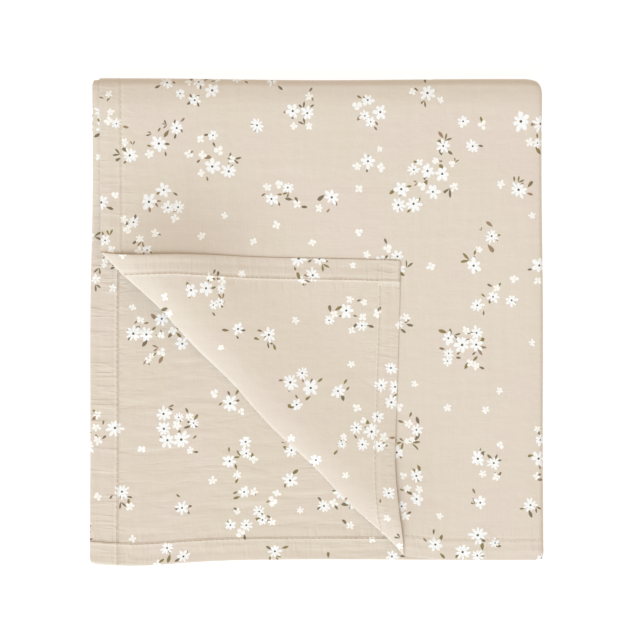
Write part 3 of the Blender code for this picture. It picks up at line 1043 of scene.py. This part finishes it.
def daisies(place):
    """All the daisies' petals, and all their middles."""
    bloom, radius, is_daisy, turn = bloom_at(place)
    shape, dot = daisy_shape(place, bloom, radius, turn)
    sprig, sprig_radius, _, sprig_turn = sprig_at(place)
    sprig_shape, sprig_dot = daisy_shape(place, sprig, sprig_radius, sprig_turn)
    return (shape * is_daisy).math("MAXIMUM", sprig_shape), (dot * is_daisy).math("MAXIMUM", sprig_dot)


print(f"daisies have {DAISY_PETALS:.0f} to {DAISY_PETALS + DAISY_KINDS - 1:.0f} petals")

# %% Draw blossoms
BLOSSOM_PETALS = (0.7, 3.1)  # by the flower's random number, rounded down and added to three
BESIDE_GAP = (0.0020, 0.0065)  # from a sprig's flower to the blossoms beside it
BESIDE_SHARE, BESIDE_SPRIGS = 0.34, 0.35  # of the cells there, and of sprigs that have none
BESIDE_RADIUS, SINGLE_RADIUS = (0.0023, 0.0031), (0.0022, 0.0030)
SINGLE_SHARE = 0.72
CLEAR_OF_BUNCH, CLEAR_OF_SPRIG = 0.0065, 0.0110  # single blossoms keep away this far


def blossom_shape(place, middle, radius, turn):
    """A small blossom of three to six petals."""
    count = between(turn, BLOSSOM_PETALS).math("FLOOR") + 3.0
    width = count.math("POWER", -1.0) * BLOSSOM_FULLNESS
    shape, _ = petals(vector_math("SUBTRACT", place, middle), radius, count, width, turn)
    return shape * radius.math("GREATER_THAN", 0.0)


def blossoms_beside(place):
    """Blossoms close to some of the sprigs' flowers."""
    middle, (kind, size, turn) = cells(place, "beside")
    sprig, sprig_radius, chance, _ = sprig_at(middle)
    away = distance_between(middle, sprig) - sprig_radius
    near = away.math("GREATER_THAN", BESIDE_GAP[0]) * away.math("LESS_THAN", BESIDE_GAP[1])
    here = near * kind.math("LESS_THAN", BESIDE_SHARE) * chance.math("GREATER_THAN", BESIDE_SPRIGS)
    here = here * sprig_radius.math("GREATER_THAN", 0.0)
    return blossom_shape(place, middle, only_if(here, between(size, BESIDE_RADIUS)), turn)


def single_blossoms(place):
    """Blossoms on their own, clear of bunches and sprigs."""
    middle, (kind, size, turn) = cells(place, "single")
    bunch, reach = bunch_at(middle)
    clear = distance_between(middle, bunch).math("GREATER_THAN", reach + CLEAR_OF_BUNCH)
    sprig, sprig_radius, _, _ = sprig_at(middle)
    clear = clear * distance_between(middle, sprig).math("GREATER_THAN", sprig_radius + CLEAR_OF_SPRIG)
    alone = clear * kind.math("LESS_THAN", SINGLE_SHARE)
    return blossom_shape(place, middle, only_if(alone, between(size, SINGLE_RADIUS)), turn)


def blossoms(place):
    bloom, radius, is_daisy, turn = bloom_at(place)
    in_bunch = blossom_shape(place, bloom, radius, turn) * (1 - is_daisy)
    return in_bunch.math("MAXIMUM", blossoms_beside(place)).math("MAXIMUM", single_blossoms(place))


print("single blossoms, mm across:", [round(2000 * radius, 1) for radius in SINGLE_RADIUS])

# %% [markdown]
# ## Leaves
# A leaf is two arcs that meet at a point, broader at its outer end, and it points away from the flower
# that it belongs to. An ellipse would be simpler, but it would look like a seed. Some leaves are pairs,
# drawn by mirroring one.

# %% Draw leaves
LEAF_SHARE, PAIR_SHARE = 0.42, 0.10  # of the cells near a flower
NEAR_BLOOM, NEAR_SPRIG = 0.0034, 0.0038  # from the flower's petals to the leaf's middle
LEAF_SPREAD = 1.5  # radians that it may turn off the flower's radius, to both sides together
LEAF_HALF, PAIR_LONGER, LEAF_ROOM = (0.0016, 0.0036), 0.0006, 1.7  # half length, and share of its room
PAIR_COSINE, PAIR_SINE = 0.88, 0.47  # of the turn of each leaf of a pair
LEAF_WIDTH, PAIR_SLIMMER, LEAF_BROADENS = 0.37, 0.11, 0.35
LEAF_EDGE = (-0.10, 0.16)


def leaves(place):
    """The leaves, and a random number for their colour."""
    middle, (kind, size, tint) = cells(place, "leaf")
    room = room_in(place, "leaf")
    bloom, bloom_radius, _, _ = bloom_at(middle)
    sprig, sprig_radius, _, _ = sprig_at(middle)
    gap = distance_between(middle, bloom) - bloom_radius
    sprig_gap = distance_between(middle, sprig) - sprig_radius
    by_bloom = bloom_radius.math("GREATER_THAN", 0.0) * gap.math("LESS_THAN", NEAR_BLOOM)
    by_sprig = sprig_radius.math("GREATER_THAN", 0.0) * sprig_gap.math("LESS_THAN", NEAR_SPRIG)
    here = by_bloom.math("MAXIMUM", by_sprig) * kind.math("LESS_THAN", LEAF_SHARE)
    owner = add_node(place.tree, "Mix", {0: by_sprig, 4: bloom, 5: sprig}, data_type="VECTOR")[1]
    away_x, away_y, _ = parts(vector_math("SUBTRACT", middle, owner))
    turn = away_y.math("ARCTAN2", away_x) + (size - 0.5) * LEAF_SPREAD
    x, y, _ = parts(vector_math("SUBTRACT", place, middle))
    pair = kind.math("LESS_THAN", PAIR_SHARE)
    half = (between(size * size, LEAF_HALF) + pair * PAIR_LONGER).math("MINIMUM", room * LEAF_ROOM)
    along = (x * turn.math("COSINE") + y * turn.math("SINE")) / half
    across = (y * turn.math("COSINE") - x * turn.math("SINE")).math("ABSOLUTE") / half
    beyond = along + 1.0
    along = along + pair * (beyond * PAIR_COSINE + across * PAIR_SINE - 1.0 - along)
    across = across + pair * (across * PAIR_COSINE - beyond * PAIR_SINE - across)
    width = (along * LEAF_BROADENS + 1.0) * (LEAF_WIDTH - pair * PAIR_SLIMMER)
    inside = 1 - along * along - across.math("ABSOLUTE") / width
    return step_up(inside, *LEAF_EDGE) * here, tint


print("leaves, mm long:", [round(2000 * half, 1) for half in LEAF_HALF])

# %% [markdown]
# ## Gauze
# Muslin is woven loosely from uneven threads. Threads that run across and threads that run along each
# show as faint streaks a thread or two wide and some centimetres long, a little darker where they crowd
# and lighter where they part. A checked texture would be too even, so they are noise stretched along the
# thread. The same streaks raise the surface for the light, with a softer unevenness from the crinkle
# between the cloth's two layers, and thin creases where the cloth is handled most.

# %% Threads
FINE_STREAK, BROAD_STREAK = (0.0007, 0.018), (0.0045, 0.050)  # across and along a thread
THIN_CREASE = (0.0070, 0.030)
PUFF_SCALE = 230.0
CREASE_EDGE, CREASE_BREAKS = (0.110, 0.0), (0.44, 0.60)  # how wide they are, and where they stop
BY_THE_HEM, BY_THE_CORNER = (0.026, 0.016), (0.230, 0.190)  # distances at which they start and are full


def streaks(place, across, along, seed):
    """Noise that is short across and long along, from 0 to 1."""
    x, y, _ = parts(place)
    stretched = join_xyz(x / across, y / along + seed)
    return add_node(place.tree, "TexNoise", {"Vector": stretched, "Scale": 1.0, "Detail": 2.0})[0]


def creases_in(place, across, along, seed):
    """Thin soft lines here and there where a slow noise passes its middle, from 0 to 1."""
    noise_here = streaks(place, across, along, seed)
    broken = step_up(streaks(place, across * 3, along * 0.7, seed + 40.0), *CREASE_BREAKS)
    return step_up((noise_here - 0.5).math("ABSOLUTE"), *CREASE_EDGE) * broken


def threads(place):
    """The height of the weave and the finest creases, and the weave's streaks for the colour."""
    x, y, _ = parts(place)
    thin, long = FINE_STREAK
    fine = streaks(place, thin, long, 3.1) + streaks(place, long, thin, 7.7) - 1.0
    thin, long = BROAD_STREAK
    broad = streaks(place, thin, long, 11.3) + streaks(place, long, thin, 17.9) - 1.0
    puff = add_node(place.tree, "TexNoise", {"Vector": place, "Scale": PUFF_SCALE, "Detail": 2.0})[0] - 0.5
    from_side = step_up(x.math("MINIMUM", CLOTH_WIDTH - x), *BY_THE_HEM)
    from_end = step_up(y.math("MINIMUM", CLOTH_DEPTH - y), *BY_THE_HEM)
    corner = step_up(CLOTH_WIDTH - x + y, *BY_THE_CORNER)
    thin, long = THIN_CREASE
    level = creases_in(place, long, thin, 23.0) * (from_side * 0.7 + corner * 0.5)
    upright = creases_in(place, thin, long, 31.0) * (from_end + corner * 0.3)
    return fine * 0.6 + puff * 1.3 + level * 1.3 + upright, fine * 0.5 + broad * 0.8


print("streaks, mm wide:", [round(1000 * streak[0], 1) for streak in (FINE_STREAK, BROAD_STREAK)])

# %% [markdown]
# ## The printed muslin
# The print is white, cream and leaf colours on an oat ground, on both faces of the gauze. One flat ground
# would look like paper, so it is mixed from the streaks and from pinker patches, with painted shade
# darkening it over the uncovered corner and the turned-back one. Cotton is matt, with a little sheen from
# its loose fibres.

# %% Printed muslin
GROUND, GROUND_DARK = srgb(231, 219, 203), srgb(225, 211, 193)
GROUND_PAINTED_SHADE = GROUND_DARK  # painted shade: the darker ground over the uncovered corner and the turned-back one
GROUND_WARM = srgb(229, 214, 201)  # soft patches where the dye took a little pinker
PETAL, PETAL_CREAM, FLOWER_MIDDLE = srgb(253, 252, 249), srgb(255, 252, 244), srgb(104, 95, 76)
LEAVES = {"olive": srgb(145, 131, 86), "brown": srgb(162, 135, 107), "grey": srgb(132, 118, 94)}
STREAK_TONES = (0.55, -0.75)  # where the streaks leave the ground pale, and make it dark
PAINTED_SHADE_FAR, PAINTED_SHADE_NEAR = (0.24, 0.18), (0.20, 0.16)  # painted shade starts and is full at these distances, from the uncovered corner and the turned one
PATCH_SCALE, PATCH_EDGE = 21.0, (0.42, 0.66)
GREY_LEAVES, BROWN_LEAVES = (0.25, 0.55), 0.88  # by the leaf's random number
WEAVE_HEIGHT, WEAVE_STRENGTH = 0.00022, 0.6


def ground_colour(place, tone):
    """The cloth's colour, uneven as dyed gauze is, with painted shade over the turned-back and the uncovered
    corner.
    """
    x, y, _ = parts(place)
    colour = blend_colours(step_up(tone, *STREAK_TONES), GROUND, GROUND_DARK)
    # painted shade: the ground darkens over the turned-back corner, and more over the uncovered one
    painted_shade = step_up(x + y, *PAINTED_SHADE_NEAR) * 0.6
    painted_shade = step_up(CLOTH_WIDTH - x + y, *PAINTED_SHADE_FAR).math("MAXIMUM", painted_shade)
    colour = blend_colours(painted_shade * 0.8, colour, GROUND_PAINTED_SHADE)
    patches = add_node(place.tree, "TexNoise", {"Vector": place, "Scale": PATCH_SCALE, "Detail": 2.0})[0]
    return blend_colours(step_up(patches, *PATCH_EDGE) * 0.6, colour, GROUND_WARM)


def set_finish(shader, **values):
    """Sets sockets of the shader by their names, written with _ for spaces."""
    for name, value in values.items():
        shader.inputs[name.replace("_", " ")].default_value = value


def printed_muslin():
    material = bpy.data.materials.new("printed_muslin")
    material.use_nodes = True
    tree = material.node_tree
    shader = tree.nodes["Principled BSDF"]
    place = add_node(tree, "UVMap", {}, uv_map="flat_cloth")[0]
    height, tone = threads(place)
    colour = ground_colour(place, tone)
    leaf, tint = leaves(place)
    leaf_colour = blend_colours(step_up(tint, *GREY_LEAVES), LEAVES["olive"], LEAVES["grey"])
    leaf_colour = blend_colours(tint.math("GREATER_THAN", BROWN_LEAVES), leaf_colour, LEAVES["brown"])
    colour = blend_colours(leaf, colour, leaf_colour)
    colour = blend_colours(blossoms(place), colour, PETAL_CREAM)
    daisy, middle = daisies(place)
    colour = blend_colours(daisy, colour, PETAL)
    colour = blend_colours(middle, colour, FLOWER_MIDDLE)
    tree.links.new(colour.socket, shader.inputs["Base Color"])
    weave = {"Height": height, "Distance": WEAVE_HEIGHT, "Strength": WEAVE_STRENGTH}
    tree.links.new(add_node(tree, "Bump", weave)[0].socket, shader.inputs["Normal"])
    set_finish(shader, Roughness=0.92, Specular_IOR_Level=0.15, Sheen_Weight=0.08, Sheen_Roughness=0.6)
    return material


blanket.data.materials.append(printed_muslin())
print("nodes in the print:", len(blanket.data.materials[0].node_tree.nodes))

# %% [markdown]
# ## Sewing thread
# The thread is cotton too, close to the ground in colour. Its twist is finer than can be modelled, so a fine
# noise, fixed to the piece, makes it a little uneven in tone and height.

# %% Sewing thread
PLY_SCALE, PLY_HEIGHT = 1800.0, 0.0001
THREAD_DARK, THREAD_LIGHT = srgb(222, 208, 188), srgb(236, 226, 211)


def sewing_thread():
    material = bpy.data.materials.new("sewing_thread")
    material.use_nodes = True
    tree = material.node_tree
    shader = tree.nodes["Principled BSDF"]
    place = add_node(tree, "TexCoord", {})[3]
    ply = add_node(tree, "TexNoise", {"Vector": place, "Scale": PLY_SCALE, "Detail": 1.0})[0]
    colour = blend_colours(step_up(ply, 0.3, 0.7), THREAD_DARK, THREAD_LIGHT)
    tree.links.new(colour.socket, shader.inputs["Base Color"])
    twist = {"Height": ply, "Distance": PLY_HEIGHT, "Strength": 0.5}
    tree.links.new(add_node(tree, "Bump", twist)[0].socket, shader.inputs["Normal"])
    set_finish(shader, Roughness=0.7)
    return material


stitching.data.materials.append(sewing_thread())
print("nodes in the thread:", len(stitching.data.materials[0].node_tree.nodes))

# %% [markdown]
# ## Floor, light and camera
# The blanket lies on a white floor, seen from straight above. The floor glows a little, so that it stays
# white where the blanket shades it. One large soft lamp stands low beyond the blanket's lower side, a
# little to the left, because light that grazes the cloth shows hems, creases and the rolled corner, which
# light from above would flatten. An even sky fills the rest.

# %% Floor
FLOOR_GREY, FLOOR_GLOW = (0.25, 0.25, 0.25, 1.0), 0.86


def make_floor():
    mesh = bmesh.new()
    bmesh.ops.create_grid(mesh, x_segments=1, y_segments=1, size=3.0)
    data = bpy.data.meshes.new("floor")
    mesh.to_mesh(data)
    mesh.free()
    made = bpy.data.objects.new("floor", data)
    bpy.context.scene.collection.objects.link(made)
    material = bpy.data.materials.new("white_floor")
    material.use_nodes = True
    shader = material.node_tree.nodes["Principled BSDF"]
    set_finish(shader, Base_Color=FLOOR_GREY, Roughness=1.0, Specular_IOR_Level=0.0)
    set_finish(shader, Emission_Color=(1.0, 1.0, 1.0, 1.0), Emission_Strength=FLOOR_GLOW)
    data.materials.append(material)
    return made


floor = make_floor()
print("floor, m across:", round(floor.dimensions.x))

# %% Light
def soft_sun(name, from_direction, spread, strength, colour):
    """A sun as wide as a large soft lamp, which lights the whole cloth alike. The spread is in degrees."""
    sun = bpy.data.lights.new(name, "SUN")
    sun.angle = math.radians(spread)
    sun.energy = strength
    sun.color = colour
    made = bpy.data.objects.new(name, sun)
    made.rotation_euler = Vector(from_direction).to_track_quat("Z", "Y").to_euler()
    bpy.context.scene.collection.objects.link(made)
    return made


key_lamp = soft_sun(
    "key_lamp", from_direction=(-0.45, -1.0, 0.80), spread=60.0, strength=2.40, colour=(0.80, 1.0, 1.20)
)
sky = bpy.data.worlds.new("studio")
sky.use_nodes = True
set_finish(sky.node_tree.nodes["Background"], Color=(1.0, 0.87, 0.73, 1.0), Strength=0.622)
bpy.context.scene.world = sky
bpy.context.scene.view_settings.view_transform = "Standard"
print("lamp turned by, degrees:", [round(math.degrees(angle)) for angle in key_lamp.rotation_euler])

# %% Camera
VIEW_WIDTH = 0.3973  # of the picture, at the height of the blanket's top
CAMERA_HEIGHT = 1.9
CAMERA_OVER = (0.0012, -0.0006)
SENSOR = 36.0  # millimetres
camera_data = bpy.data.cameras.new("camera")
camera_data.sensor_width = SENSOR
camera_data.lens = SENSOR * (CAMERA_HEIGHT - STACK) / VIEW_WIDTH
camera = bpy.data.objects.new("camera", camera_data)
camera.location = (*CAMERA_OVER, CAMERA_HEIGHT)
bpy.context.scene.collection.objects.link(camera)
bpy.context.scene.camera = camera
print(f"lens {camera_data.lens:.0f} mm")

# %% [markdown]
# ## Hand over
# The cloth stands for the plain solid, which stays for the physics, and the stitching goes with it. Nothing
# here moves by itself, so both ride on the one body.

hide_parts("muslin_cloth")
for piece in (blanket, stitching):
    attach(piece, "root")
